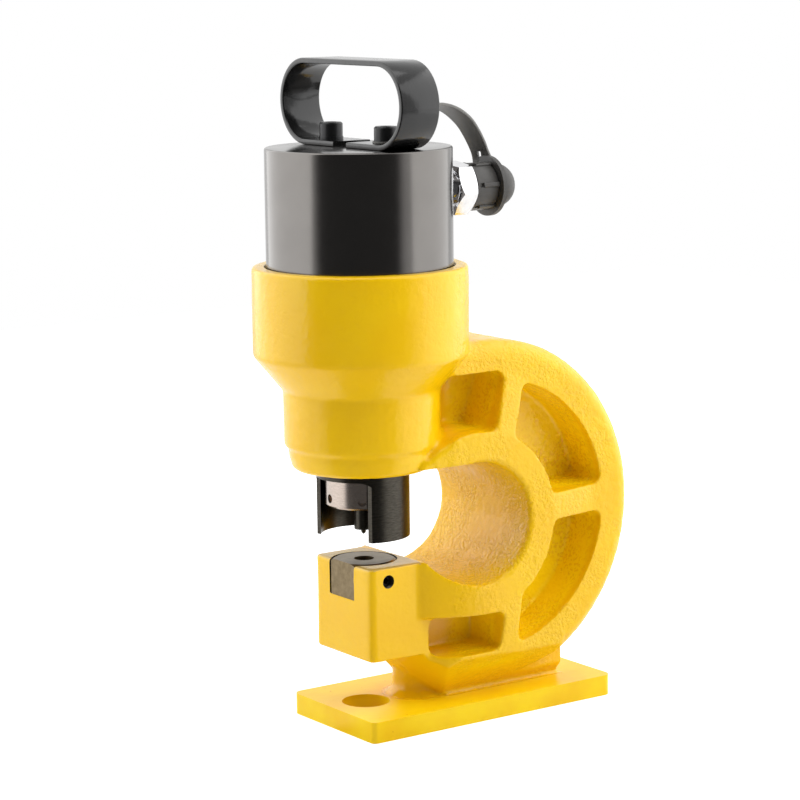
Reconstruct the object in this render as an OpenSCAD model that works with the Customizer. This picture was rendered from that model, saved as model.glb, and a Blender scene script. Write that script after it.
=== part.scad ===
// Portable hydraulic hole punch: a cast C-frame on a base plate, a steel cylinder with a sprung
// ram, a punch in a ring nut behind a stripper sleeve, and a die in a block under it.
// Origin: the punch axis at the underside of the base plate. +Z is up, +X points to the back
// of the frame, and the mouth of the throat opens towards -X.

/* [Punch and die] */
// Diameter of the punch
punch_d = 10.5; // [8:0.5:13]
// Clearance on diameter between the punch and the hole in the die
die_gap = 0.8; // [0.4:0.1:1.2]
// Outside diameter of the die
die_d = 37.4; // [35:0.2:38]
// Height of the die
die_h = 20.4; // [18:0.2:22]
// Distance from the punch axis to the flat on the front of the die
die_flat = 14.6; // [13:0.1:14.8]
// Travel of the ram
stroke = 22; // [16:1:24]
// How far the punch enters the die at full stroke
punch_entry = 4.8; // [3:0.2:6]
// Height of the centring pip on the punch
pip_h = 3.4; // [1:0.2:4]
// Diameter of the ring nut that holds the punch
nut_d = 42.4; // [40:0.2:44]
// Height of the ring nut
nut_h = 19.5; // [18:0.5:20]

/* [Stripper sleeve] */
// Outside diameter of the stripper sleeve
sleeve_d = 52.4; // [50:0.2:56]
// Wall of the stripper sleeve
sleeve_wall = 2.2; // [1.6:0.1:2.4]
// Height from the top of the die to the foot of the sleeve
sleeve_gap = 13.9; // [11:0.1:16]
// Distance from the punch axis to the flat cut that opens the sleeve
window_cut = 15.8; // [14:0.2:18]
// Direction of the flat cut, in degrees from -X towards -Y
window_turn = 13; // [0:1:25]
// Height of the window in the sleeve
window_h = 34; // [28:1:36]

/* [Base plate] */
// Distance from the punch axis to the front edge of the plate
base_front = 23; // [20:1:30]
// Distance from the punch axis to the back edge of the plate
base_back = 147.4; // [140:0.2:170]
// Width of the plate
base_w = 82; // [70:1:100]
// Thickness of the plate
base_t = 12; // [8:1:20]
// Radius of the plate's corners
base_corner = 5.5; // [1:0.5:8]
// Diameter of the slug chute through the plate
chute_d = 27.3; // [22:0.1:32]

/* [Die block] */
// Gap from the plate to the underside of the die block
block_gap = 29.5; // [28:0.5:34]
// Height of the die block
block_h = 53.3; // [50:0.1:58]
// Width of the die block
block_w = 56; // [52:1:60]
// Distance from the punch axis to the front face of the die block
block_front = 14.9; // [14.8:0.1:17]
// Radius of the block's upright edges
block_edge = 3.5; // [1:0.5:5]
// Diameter of the slug hole under the die
slug_d = 18; // [14:1:24]
// Diameter of the set screw that locks the die
set_screw_d = 8; // [6:1:8]
// Depth of the set screw's axis below the top of the block
set_screw_drop = 8; // [6:0.5:12]

/* [C-frame] */
// Radius of the throat
throat_r = 35; // [32:0.5:36]
// Distance from the punch axis to the centre of the throat
throat_x = 50; // [48:0.5:54]
// Width of the frame at the throat
frame_w = 88; // [84:1:94]
// Width of the frame at the outer rim
rim_w = 74; // [70:1:80]
// Thickness of the web between the two rows of pockets
web_t = 24; // [16:1:30]
// Radius of the outer rim
rim_r = 100; // [98:0.5:104]
// Radial thickness of the outer rim
rim_t = 22; // [18:0.5:26]
// Radial thickness of the flange round the throat
flange_t = 17.5; // [15:0.5:20]
// Width of the sloping rib over the throat
upper_rib_w = 13; // [9:0.5:16]
// Direction of the sloping rib, in degrees up from +X
upper_rib_turn = 70; // [66:1:74]
// Width of the level rib behind the throat
rear_rib_w = 15; // [10:0.5:18]
// Width of the upright rib below the throat
lower_rib_w = 12; // [9:0.5:15]
// Radius of the corners of the pockets
pocket_corner = 5; // [3:0.5:6]
// Radius of the rounded edges of the rim
rim_edge = 10; // [5:0.5:12]
// Radius of the rounded edges of the throat
throat_edge = 3; // [1:0.5:4]
// Width of the foot that stands on the plate
foot_w = 36; // [30:1:44]
// Distance from the punch axis to the front of the foot
foot_front = 42; // [38:0.5:44]
// Distance from the punch axis to the back of the foot
foot_back = 124; // [118:0.5:130]
// Lean of the foot's sides, in degrees from upright
foot_lean = 41.5; // [38:0.5:44]
// Turn of the foot's two front faces, in degrees from -X
bow_turn = 31; // [26:1:36]
// Lean of the foot's two front faces, in degrees from upright
bow_lean = 38.3; // [35:0.1:41]
// Diameter of the post at the front of the foot
post_d = 25.4; // [23:0.2:27]
// Radius of the cast bead where the foot meets the plate
toe_r = 3; // [1:0.5:4]

/* [Boss and collar] */
// Diameter of the boss that carries the ram guide
boss_d = 88; // [84:0.5:92]
// Diameter of the collar that holds the cylinder
collar_d = 120.4; // [118:0.2:126]
// Height of the collar
collar_h = 50; // [44:1:56]
// Height of the cone between boss and collar
cone_h = 18.7; // [15:0.1:24]
// Height of the boss, from its underside to the cone
boss_h = 44.8; // [43:0.1:50]

/* [Cylinder and ram] */
// Diameter of the cylinder
cylinder_d = 104; // [101:0.5:106]
// Height of the cylinder over the collar
cylinder_show = 65.4; // [63:0.2:72]
// Bore of the cylinder
bore_d = 75; // [72:0.5:77]
// Diameter of the ram's rod
rod_d = 42; // [40:0.5:42.5]
// Thickness of the piston
piston_h = 24; // [22:0.5:25]
// Wire of the return spring
spring_wire = 5; // [4:0.25:5.5]
// Number of curls of the return spring
spring_curls = 6; // [5:1:6]

/* [Handle] */
// Length of the handle loop
handle_l = 119; // [112:0.2:124]
// Height of the handle loop
handle_h = 48; // [44:0.2:52]
// Width of the handle strap
handle_w = 25; // [20:0.5:30]
// Thickness of the handle strap
handle_t = 3; // [2.5:0.1:3.5]
// Distance from a handle screw to the bend of the strap
screw_inset = 8.9; // [8:0.1:11]
// Nominal diameter of the handle screws
screw_d = 8; // [6:1:8]
// Thickness of the washer and of the tether's eyelet under the screw heads
washer_t = 1.3; // [1:0.1:1.6]

/* [Coupler and cap] */
// Height of the coupler's axis below the top of the cylinder
port_drop = 26.7; // [26:0.1:28]
// Width across flats of the coupler's hexagon
hex_af = 27.6; // [26:0.2:30]
// Length of the coupler's hexagon
hex_l = 16.8; // [14:0.2:18]
// Diameter of the coupler's nose
nose_d = 23.6; // [22.8:0.1:24.2]
// Length of the coupler's nose
nose_l = 14.4; // [13:0.1:16]
// Travel of the valve in the coupler
valve_travel = 4; // [2:0.5:4]
// Diameter of the dust cap
cap_d = 29; // [28:0.2:30.5]
// Number of grip ribs round the dust cap
cap_ribs = 6; // [4:1:8]
// Width of the tether strap
tether_w = 10.4; // [7:0.2:12]
// Thickness of the tether strap
tether_t = 1.8; // [1.2:0.1:2.2]

/* [Hidden] */

// Clearances
press_gap = 0.02; // radial, between two pieces that stay together
running_gap = 0.05; // radial, between a sliding piece and its guide
seal_gap = 0.03; // radial, round a seal
thread_gap = 0.1; // radial, between the crests of a screw and its hole
loose_gap = 0.3; // between pieces that move past each other
over = 1; // how far a cut runs past the face that it opens

// Heights
block_z = base_t + block_gap;
block_top = block_z + block_h;
die_proud = 0.3;
die_seat = block_top + die_proud - die_h;
die_top = die_seat + die_h;
throat_z = block_top + 20.2;
arm_z = throat_z + throat_r;
boss_z = arm_z - 2.5;
cone_z = boss_z + boss_h;
collar_z = cone_z + cone_h;
collar_top = collar_z + collar_h + 0.4;
seat_rise = 5;
seat_z = collar_z + seat_rise;
cylinder_top = collar_top + cylinder_show;
sleeve_z = die_top + sleeve_gap;
punch_z = die_top + stroke - punch_entry;
port_z = cylinder_top - port_drop;

// Frame
rim_x = throat_x + 15.4;
rim_z = throat_z + 1.6;
rim_in = rim_r - rim_t;
flange_r = throat_r + flange_t;
arm_top = rim_z + rim_r;
arm_pocket_top = arm_top - 16.6;
block_back = 17; // where the block's sides begin to open
block_straight = 25; // the same under the flange round the throat
side_full = throat_x + 10; // where the sides reach the full width of the frame
foot_nose = foot_front - 4.8; // front of the foot's middle, on the plate
bow_x = slug_d / 2 + 1; // the same, at the underside of the block
nose_lean = atan2(foot_nose - bow_x, block_gap);
post_x = foot_front - 8;
post_fillet = min(7, post_x - (post_d + chute_d) / 2 - 0.5);
pocket_floor = base_t + 27;
foot_meets_rim_z = rim_z - sqrt(pow(rim_r, 2) - pow(foot_back - rim_x, 2));
rear_rib_z = throat_z + 3.5;
lower_rib_x = throat_x + 23.5;
die_pocket_r = die_d / 2 + loose_gap / 3;
screw_hole_r = set_screw_d / 2 + thread_gap;
screw_x = -2.8;

// Sleeve, bush and ram
sleeve_r = sleeve_d / 2;
sleeve_in = sleeve_r - sleeve_wall;
sleeve_top = boss_z + 18.5;
bush_r = sleeve_r - press_gap;
bush_top = cone_z + 5.7;
wiper_h = 5;
rod_r = rod_d / 2;
bush_in = rod_r + running_gap;
chamber_r = bore_d / 2;
piston_r = chamber_r - running_gap;
ceiling_z = port_z + 8;
piston_top = port_z - 6;
piston_z = piston_top - piston_h;
seal_h = 6;
ring_h = 6;
groove_d = 3.5;
ring_d = 2;

// Punch nut
punch_r = punch_d / 2;
nut_r = nut_d / 2;
punch_stick = 14.2; // length of the punch below the nut
nut_z = punch_z + punch_stick;
nut_floor = 3;
head_r = 8.9;
head_h = 5.5;
spigot_r = 15.9;
nut_step = 1;
spanner_z = 5; // height of the spanner holes in the nut

// Handle
tab_top = cylinder_top + handle_t;
head_z = tab_top + washer_t;
head_h_bolt = screw_d;
head_r_bolt = 0.8125 * screw_d;
shank_r = screw_d / 2;
shank_l = 16;
handle_r = handle_h / 2;
screw_pitch = handle_l - handle_h - 2 * screw_inset;
tab_gap = 12.8; // between the ends of the strap

// Coupler
spot_x = cylinder_d / 2 - 1.2;
washer_l = 1.8;
flange_l = 2.2;
hex_x = spot_x + washer_l + flange_l;
nose_x = hex_x + hex_l;
nose_end = nose_x + nose_l;
shank_port_r = 8.3;
port_depth = 10;
hex_r = hex_af / 2 / cos(30);
valve_bore = 4.5;
valve_chamber = 7.2;
chamber_x = hex_x + 1.2;
chamber_end = nose_end - 6;
mouth_r = 5.2;
valve_head = 6.8;
valve_stem = 2.95;
guide_t = 2;
valve_head_x = chamber_end - 6;
valve_wire = 1;
valve_spring_r = 4.6;
valve_spring_curls = 6;

// Dust cap and tether
cap_x = nose_x + loose_gap;
cap_cavity_r = nose_d / 2 + loose_gap;
cap_r = cap_d / 2;
cap_neck_x = nose_end + 1.5;
ring_t = 2.7;
cap_neck_r = 12.3;
dome_l = 14.4;
tether_ring_r = 17.15;
eyelet_r = 7.4;
tether_side = 6; // how far beyond the top of its ring the tether ends
// Route of the tether strap: distance from the eyelet's centre, and height over the handle's tab
tether_route = [
    [4, 0.9], [15, 2], [26, 8], [36, 15.3], [44.5, 18.4], [53, 17.6], [62, 15.2], [70, 11.8],
    [78, 7], [84, 1.6], [89, -4], [92.6, -9], [94.2, -13], [94.6, -16.4]
];

// Base

module rounded_box(x0, x1, w, h, r) {
    for (x = [x0 + r, x1 - r], y = [r - w / 2, w / 2 - r])
        translate([x, y, 0]) cylinder(h = h, r = r, $fn = 48);
    translate([x0 + r, -w / 2, 0]) cube([x1 - x0 - 2 * r, w, h]);
    translate([x0, r - w / 2, 0]) cube([x1 - x0, w - 2 * r, h]);
}

module base_plate() {
    color("gold") difference() {
        rounded_box(-base_front, base_back, base_w, base_t, base_corner);
        translate([0, 0, -over]) cylinder(h = base_t + 2 * over, d = chute_d, $fn = 96);
    }
}

// Frame

// Turns a drawing in the X-Z plane into a solid centred on that plane
module across(w) {
    rotate([90, 0, 0]) linear_extrude(w, center = true) children();
}

module throat_outline() {
    translate([throat_x, throat_z]) circle(throat_r, $fn = 144);
    translate([-60, block_top]) square([60 + throat_x, arm_z - block_top]);
}

// Hollow corner with its apex at the origin
module fillet_corner(r) {
    difference() {
        square(r);
        translate([r, r]) circle(r, $fn = 48);
    }
}

// Outline of the whole casting in the X-Z plane, without the boss
module side_outline() {
    difference() {
        union() {
            intersection() {
                translate([rim_x, rim_z]) circle(rim_r, $fn = 256);
                translate([throat_x, base_t]) square([2 * rim_r, 3 * rim_r]);
            }
            translate([0, throat_z]) square([rim_x, arm_top - throat_z]);
            translate([-block_front, block_z]) square([throat_x + block_front, block_h]);
            translate([bow_x - over, base_t]) square([foot_back - bow_x + over, rim_z - base_t]);
            translate([foot_back, base_t]) fillet_corner(toe_r);
        }
        throat_outline();
    }
}

// Plan of the casting below the throat: a narrow block in front, and sides that open behind it
// in a round curve. Under the flange the block's sides run further back before they open.
module lower_plan(straight) {
    run = side_full - straight;
    rise = (frame_w - block_w) / 2;
    r = (run * run + rise * rise) / (2 * rise);
    difference() {
        union() {
            translate([-block_front, -block_w / 2]) square([side_full + block_front, block_w]);
            translate([side_full, -frame_w / 2]) square([2 * rim_r - side_full, frame_w]);
            intersection() {
                translate([straight, -frame_w / 2]) square([run + over, frame_w]);
                translate([side_full, r - frame_w / 2]) circle(r, $fn = 240);
                translate([side_full, frame_w / 2 - r]) circle(r, $fn = 240);
            }
        }
        for (s = [-1, 1])
            translate([-block_front, s * block_w / 2]) on_side(-s) fillet_corner(block_edge);
    }
}

module on_side(s) {
    if (s < 0) mirror([0, 1]) children();
    else children();
}

module upper_plan() {
    polygon([
        [0, -0.9 * frame_w / 2], [34, -0.99 * frame_w / 2], [throat_x, -frame_w / 2],
        [2 * rim_r, -frame_w / 2], [2 * rim_r, frame_w / 2], [throat_x, frame_w / 2],
        [34, 0.99 * frame_w / 2], [0, 0.9 * frame_w / 2]
    ]);
}

module plan_body() {
    flange_z = throat_z - flange_r;
    translate([0, 0, base_t - over])
        linear_extrude(flange_z - base_t + over) lower_plan(block_straight);
    translate([0, 0, flange_z]) linear_extrude(throat_z - flange_z) lower_plan(block_back);
    translate([0, 0, throat_z]) linear_extrude(arm_top - throat_z + over) upper_plan();
}

// The faces fall away from the flange round the throat to the rim
module face_taper() {
    far = 3 * rim_r;
    translate([throat_x, 0, throat_z]) rotate([90, 0, 0]) rotate_extrude($fn = 144) polygon([
        [0, -frame_w / 2], [flange_r, -frame_w / 2], [flange_r + 34, -rim_w / 2],
        [far, -rim_w / 2], [far, rim_w / 2], [flange_r + 34, rim_w / 2],
        [flange_r, frame_w / 2], [0, frame_w / 2]
    ]);
}

// Half section of the rim with its rounded edges, from the rim's centre outwards
module rim_section(w) {
    e = rim_edge;
    translate([0, -w / 2]) square([rim_r - e, w]);
    translate([0, e - rim_w / 2]) square([rim_r, rim_w - 2 * e]);
    for (s = [-1, 1])
        translate([rim_r - e, s * (rim_w / 2 - e)]) circle(e, $fn = 48);
}

module rim_envelope() {
    leg_side = foot_w / 2 + toe_r + over;
    translate([rim_x, 0, rim_z]) rotate([90, 0, 0]) rotate_extrude($fn = 256)
        rim_section(frame_w + 2 * over);
    translate([-over, 0, rim_z]) rotate([90, 0, 90]) linear_extrude(rim_x + over)
        rotate(90) rim_section(frame_w + 2 * over);
    translate([-2 * block_front, -frame_w, 0]) cube([rim_x + 2 * block_front, 2 * frame_w, rim_z]);
    translate([0, -leg_side, 0]) cube([foot_back + toe_r, 2 * leg_side, foot_meets_rim_z + toe_r]);
}

// Slope and cast bead along one side of the foot
module side_slope() {
    y0 = foot_w / 2;
    y1 = frame_w / 2 + 2;
    start = base_t + 2;
    top = start + (y1 - y0) / tan(foot_lean);
    translate([-over, 0, 0]) rotate([90, 0, 90]) linear_extrude(foot_back + 2 * toe_r + over)
        difference() {
            polygon([
                [y0, base_t - over], [y0, start], [y1, top], [frame_w, top], [frame_w, base_t - over]
            ]);
            translate([y0, base_t]) fillet_corner(toe_r);
            translate([y0, base_t - over]) square([toe_r, over]);
        }
}

// Everything ahead of a leaning face that rises from the plate
module ahead_of(x, y, turn, lean) {
    far = 2 * rim_r;
    translate([x, y, base_t]) rotate(turn) rotate([0, -lean, 0])
        translate([-far, -far, -far]) cube([far, 2 * far, 2 * far]);
}

// Cut that gives the foot its three front faces, up to the underside of the block
module foot_bow() {
    intersection() {
        translate([-over, -frame_w, base_t - over]) cube([throat_x, 2 * frame_w, block_gap + over]);
        union() {
            ahead_of(foot_nose, 0, 0, nose_lean);
            for (s = [0, 1]) mirror([0, s, 0]) ahead_of(foot_front, -foot_w / 2, bow_turn, bow_lean);
        }
    }
}

// Round post with a hollow foot at the front of the frame's foot
module foot_post() {
    r = post_d / 2;
    f = post_fillet;
    translate([post_x, 0, 0]) rotate_extrude($fn = 96) difference() {
        translate([0, base_t]) square([r + f, block_gap + over]);
        translate([r, base_t + f]) square([f + over, block_gap]);
        translate([r + f, base_t + f]) circle(f, $fn = 72);
    }
}

module throat_rounding() {
    translate([throat_x, 0, throat_z]) rotate([90, 0, 0]) rotate_extrude($fn = 144)
        for (s = [0, 1]) mirror([0, s])
            translate([throat_r, frame_w / 2]) difference() {
                translate([-over, -throat_edge]) square([throat_edge + over, throat_edge + over]);
                translate([throat_edge, -throat_edge]) circle(throat_edge, $fn = 48);
            }
}

// One pocket on the near side, drawn at the face and drawn in a little towards the web
module pocket(cx, cz) {
    draft = 0.92;
    depth = frame_w / 2 - web_t / 2 + over;
    translate([cx, -web_t / 2 - depth, cz]) rotate([-90, 0, 0]) mirror([0, 1, 0])
        linear_extrude(depth, scale = draft)
            offset(r = pocket_corner, $fn = 24) offset(delta = -pocket_corner)
                translate([-cx, -cz]) children();
}

module flange_disc() {
    translate([throat_x, throat_z]) circle(flange_r, $fn = 120);
}

module upper_rib_edge(side) {
    translate([throat_x, throat_z]) rotate(upper_rib_turn)
        translate([0, side > 0 ? upper_rib_w / 2 - 2 * rim_r : -upper_rib_w / 2])
            square([2 * rim_r, 2 * rim_r]);
}

module arm_pocket() {
    difference() {
        translate([0, throat_z]) square([rim_x + 15, arm_pocket_top - throat_z]);
        flange_disc();
        upper_rib_edge(1);
    }
}

module rear_pockets(top) {
    half = rear_rib_w / 2;
    difference() {
        intersection() {
            translate([rim_x, rim_z]) circle(rim_in, $fn = 120);
            if (top) translate([throat_x, rear_rib_z + half]) square(2 * rim_r);
            else translate([lower_rib_x + lower_rib_w / 2, pocket_floor])
                square([2 * rim_r, rear_rib_z - half - pocket_floor]);
        }
        flange_disc();
        if (top) upper_rib_edge(-1);
    }
}

module lower_pocket() {
    start = block_straight - 1;
    translate([start, pocket_floor])
        square([lower_rib_x - lower_rib_w / 2 - start, throat_z - flange_r - pocket_floor]);
}

module pockets() {
    pocket(0.9 * throat_x, (arm_z + arm_top) / 2) arm_pocket();
    pocket(rim_x + 0.67 * rim_in, rim_z + 0.49 * rim_in) rear_pockets(true);
    pocket(rim_x + 0.6 * rim_in, rim_z - 0.44 * rim_in) rear_pockets(false);
    pocket((block_straight + lower_rib_x - lower_rib_w / 2) / 2, (pocket_floor + throat_z - flange_r) / 2)
        lower_pocket();
}

// Boss, cone and collar, a body of revolution on the punch axis
module boss() {
    e = 4.5;
    lip = 2;
    r = boss_d / 2;
    rc = collar_d / 2;
    rotate_extrude($fn = 144) {
        polygon([
            [0, boss_z], [r - 3.8 - e, boss_z], [r - 3.8, boss_z + e], [r - 2.8, boss_z + 8],
            [r - 2.8, boss_z + 11.5], [r - 0.3, boss_z + 14.5], [r, cone_z], [rc - 0.9, collar_z],
            [rc, collar_z + 1.4], [rc, collar_top - lip], [rc - lip, collar_top], [0, collar_top]
        ]);
        translate([r - 3.8 - e, boss_z + e]) circle(e, $fn = 48);
        translate([rc - lip, collar_top - lip]) circle(lip, $fn = 32);
    }
}

// Bores for the sleeve, the bush, the spring and the cylinder
module boss_bores() {
    cr = cylinder_d / 2 + loose_gap;
    translate([0, 0, boss_z - over])
        cylinder(h = sleeve_top - boss_z + over, r = sleeve_r + press_gap, $fn = 96);
    translate([0, 0, sleeve_top - over])
        cylinder(h = bush_top - sleeve_top + 2 * over, r = bush_r + press_gap, $fn = 96);
    translate([0, 0, bush_top]) cylinder(h = seat_z - bush_top + over, r = chamber_r, $fn = 96);
    translate([0, 0, seat_z]) cylinder(h = collar_top - seat_z + over, r = cr, $fn = 144);
    translate([0, 0, collar_top - 2]) cylinder(h = 2 + over, r1 = cr, r2 = cr + 1.5, $fn = 144);
}

module die_pocket() {
    translate([0, 0, die_seat]) cylinder(h = block_top - die_seat + over, r = die_pocket_r, $fn = 96);
    translate([0, 0, block_z - over]) cylinder(h = block_h, d = slug_d, $fn = 72);
    translate([screw_x, 0, block_top - set_screw_drop]) rotate([90, 0, 0])
        cylinder(h = block_w, r = screw_hole_r, $fn = 48);
}

module c_frame() {
    color("gold") difference() {
        union() {
            difference() {
                union() {
                    difference() {
                        intersection() {
                            across(2 * frame_w) side_outline();
                            plan_body();
                            face_taper();
                            rim_envelope();
                        }
                        foot_bow();
                    }
                    foot_post();
                }
                throat_rounding();
                for (s = [0, 1]) mirror([0, s, 0]) {
                    side_slope();
                    pockets();
                }
            }
            boss();
        }
        boss_bores();
        die_pocket();
    }
}

// Guide, sleeve and die

module guide_bush() {
    color("peru") difference() {
        translate([0, 0, sleeve_top]) cylinder(h = bush_top - sleeve_top, r = bush_r, $fn = 96);
        translate([0, 0, sleeve_top - over])
            cylinder(h = bush_top - sleeve_top + 2 * over, r = bush_in, $fn = 96);
        translate([0, 0, sleeve_top - over]) cylinder(h = wiper_h + over, r = sleeve_in, $fn = 96);
    }
}

module rod_wiper() {
    color("dimgray") difference() {
        translate([0, 0, sleeve_top]) cylinder(h = wiper_h, r = sleeve_in - press_gap, $fn = 96);
        translate([0, 0, sleeve_top - over])
            cylinder(h = wiper_h + 2 * over, r = rod_r + seal_gap, $fn = 96);
    }
}

module stripper_sleeve() {
    corner = 6;
    half = sleeve_r - corner - 4.2;
    color("darkslategray") difference() {
        translate([0, 0, sleeve_z]) cylinder(h = sleeve_top - sleeve_z, r = sleeve_r, $fn = 96);
        translate([0, 0, sleeve_z - over])
            cylinder(h = sleeve_top - sleeve_z + 2 * over, r = sleeve_in, $fn = 96);
        rotate(window_turn) translate([-window_cut, 0, sleeve_z]) rotate([90, 0, -90])
            linear_extrude(sleeve_r) {
                translate([-sleeve_r, -over]) square([2 * sleeve_r, window_h + over - corner]);
                translate([-half, 0]) square([2 * half, window_h]);
                for (s = [-1, 1]) translate([s * half, window_h - corner]) circle(corner, $fn = 48);
            }
    }
}

module die() {
    land = 5;
    hole_r = punch_r + die_gap / 2;
    r = die_d / 2;
    color("dimgray") difference() {
        translate([0, 0, die_seat]) rotate_extrude($fn = 96) polygon([
            [hole_r, die_h - land], [hole_r + 1.5, die_h - land], [hole_r + 1.5, 0],
            [r, 0], [r, die_h - 1.2], [r - 2.1, die_h], [hole_r, die_h]
        ]);
        translate([-die_flat - r, -r, die_seat - over]) cube([r, 2 * r, die_h + 2 * over]);
    }
}

module die_set_screw() {
    l = 6;
    y = die_d / 2 + press_gap;
    color("black") translate([screw_x, -y, block_top - set_screw_drop]) rotate([90, 0, 0])
        difference() {
            union() {
                translate([0, 0, 1]) cylinder(h = l - 1, d = set_screw_d, $fn = 48);
                cylinder(h = 1, r1 = set_screw_d / 2 - 1, r2 = set_screw_d / 2, $fn = 48);
            }
            translate([0, 0, l - 4]) cylinder(h = 4 + over, d = 0.55 * set_screw_d, $fn = 6);
        }
}

// Cylinder and ram

module cylinder_shell() {
    r = cylinder_d / 2;
    rotate_extrude($fn = 144) polygon([
        [chamber_r, seat_z], [r, seat_z], [r, cylinder_top - 1], [r - 1, cylinder_top],
        [0, cylinder_top], [0, ceiling_z], [chamber_r, ceiling_z]
    ]);
}

module cylinder_body() {
    color("#1c1c1e") difference() {
        cylinder_shell();
        for (s = [-1, 1]) translate([0, s * screw_pitch / 2, head_z - shank_l - 1])
            cylinder(h = shank_l, r = shank_r + thread_gap, $fn = 48);
        translate([0, 0, port_z]) rotate([0, 90, 0]) {
            translate([0, 0, chamber_r - over])
                cylinder(h = cylinder_d / 2 - chamber_r, r = 4, $fn = 48);
            translate([0, 0, spot_x - port_depth])
                cylinder(h = port_depth + 2 * over, r = shank_port_r + thread_gap, $fn = 48);
            translate([0, 0, spot_x]) cylinder(h = 5, r = 12, $fn = 72);
        }
    }
}

module ram() {
    g1 = piston_r - groove_d;
    g2 = piston_r - ring_d;
    seal_z = piston_top - 4 - seal_h;
    ring_z = piston_z + 3;
    color("silver") rotate_extrude($fn = 120) polygon([
        [0, nut_z + nut_floor + head_h], [spigot_r, nut_z + nut_floor + head_h],
        [spigot_r, nut_z + nut_h + nut_step], [rod_r, nut_z + nut_h + nut_step],
        [rod_r, piston_z], [piston_r, piston_z], [piston_r, ring_z], [g2, ring_z],
        [g2, ring_z + ring_h], [piston_r, ring_z + ring_h], [piston_r, seal_z], [g1, seal_z],
        [g1, seal_z + seal_h], [piston_r, seal_z + seal_h], [piston_r, piston_top - 1],
        [piston_r - 1, piston_top], [0, piston_top]
    ]);
}

module piston_seal() {
    z = piston_top - 4 - seal_h + press_gap;
    h = seal_h - 2 * press_gap;
    inner = piston_r - groove_d + press_gap;
    outer = chamber_r - seal_gap;
    color("forestgreen") rotate_extrude($fn = 120) polygon([
        [inner, z], [outer - 0.5, z], [outer, z + 0.8], [outer, z + h], [outer - 1, z + h],
        [outer - 1.7, z + h - 2.5], [inner + 0.8, z + h], [inner, z + h]
    ]);
}

module piston_wear_ring() {
    inner = piston_r - ring_d + press_gap;
    color("saddlebrown") difference() {
        translate([0, 0, piston_z + 3 + press_gap])
            cylinder(h = ring_h - 2 * press_gap, r = chamber_r - seal_gap, $fn = 120);
        translate([0, 0, piston_z]) cylinder(h = piston_h, r = inner, $fn = 120);
        translate([0, -0.5, piston_z]) cube([bore_d, 1, piston_h]);
    }
}

// Coil of round wire along +Z, as one unbroken tube
module coil(r, wire, len, turns, steps) {
    sides = 6;
    pitch = (len - wire) / turns;
    n = turns * steps;
    rings = [for (i = [0:n]) let (a = 360 * i / steps, z = wire / 2 + pitch * i / steps)
        [for (k = [0:sides - 1]) let (b = 360 * k / sides, q = r + wire / 2 * cos(b))
            [q * cos(a), q * sin(a), z + wire / 2 * sin(b)]]];
    points = [for (ring = rings) each ring];
    skin = [for (i = [0:n - 1], k = [0:sides - 1]) let (
            p = i * sides + k, q = i * sides + (k + 1) % sides)
        each [[p, q, p + sides], [q, q + sides, p + sides]]];
    caps = [
        [for (k = [0:sides - 1]) sides - 1 - k],
        [for (k = [0:sides - 1]) n * sides + k]
    ];
    echo(coil_gap = pitch - wire);
    polyhedron(points, concat(skin, caps), convexity = 10);
}

module return_spring() {
    color("slategray") translate([0, 0, bush_top + loose_gap])
        coil((rod_r + chamber_r) / 2, spring_wire, piston_z - bush_top - 2 * loose_gap,
            spring_curls, 16);
}

module punch_nut() {
    holes = 6;
    first = -6;
    color("gainsboro") difference() {
        translate([0, 0, nut_z]) rotate_extrude($fn = 96) polygon([
            [punch_r + thread_gap, 0], [nut_r - 1, 0], [nut_r, 1], [nut_r, nut_h],
            [spigot_r + thread_gap, nut_h], [spigot_r + thread_gap, nut_floor + head_h],
            [head_r + thread_gap, nut_floor + head_h], [head_r + thread_gap, nut_floor],
            [punch_r + thread_gap, nut_floor]
        ]);
        for (k = [0:holes - 1]) rotate(180 + first + k * 360 / holes)
            translate([nut_r - 4, 0, nut_z + spanner_z]) rotate([0, 90, 0])
                cylinder(h = 4 + over, r = 2.5, $fn = 32);
    }
}

module punch() {
    top = nut_z + nut_floor;
    color("dimgray") rotate_extrude($fn = 72) polygon([
        [0, punch_z - pip_h], [1.2, punch_z - pip_h + 1], [1.8, punch_z], [punch_r, punch_z],
        [punch_r, top], [head_r, top], [head_r, top + head_h], [0, top + head_h]
    ]);
}

// Handle

module handle_strap() {
    c = handle_l / 2 - handle_r;
    color("#161618") translate([0, 0, cylinder_top + handle_r]) difference() {
        rotate([90, 0, 90]) linear_extrude(handle_w, center = true) difference() {
            union() {
                for (s = [-1, 1]) translate([s * c, 0]) circle(handle_r, $fn = 96);
                square([2 * c, 2 * handle_r], center = true);
            }
            for (s = [-1, 1]) translate([s * c, 0]) circle(handle_r - handle_t, $fn = 96);
            square([2 * c, 2 * (handle_r - handle_t)], center = true);
            translate([-tab_gap / 2, -2 * handle_r]) square([tab_gap, 2 * handle_r]);
        }
        for (s = [-1, 1]) translate([0, s * screw_pitch / 2, -handle_r - over])
            cylinder(h = handle_t + 2 * over, r = shank_r + loose_gap, $fn = 48);
    }
}

module handle_screw() {
    difference() {
        union() {
            rotate_extrude($fn = 72) polygon([
                [0, 0], [head_r_bolt, 0], [head_r_bolt, head_h_bolt - 0.8],
                [head_r_bolt - 0.8, head_h_bolt], [0, head_h_bolt]
            ]);
            translate([0, 0, -shank_l]) cylinder(h = shank_l, r = shank_r, $fn = 48);
        }
        translate([0, 0, head_h_bolt / 2])
            cylinder(h = head_h_bolt / 2 + over, r = 0.433 * screw_d, $fn = 6);
    }
}

module handle_screws() {
    color("#202022") for (s = [-1, 1]) translate([0, s * screw_pitch / 2, head_z]) handle_screw();
}

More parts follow.
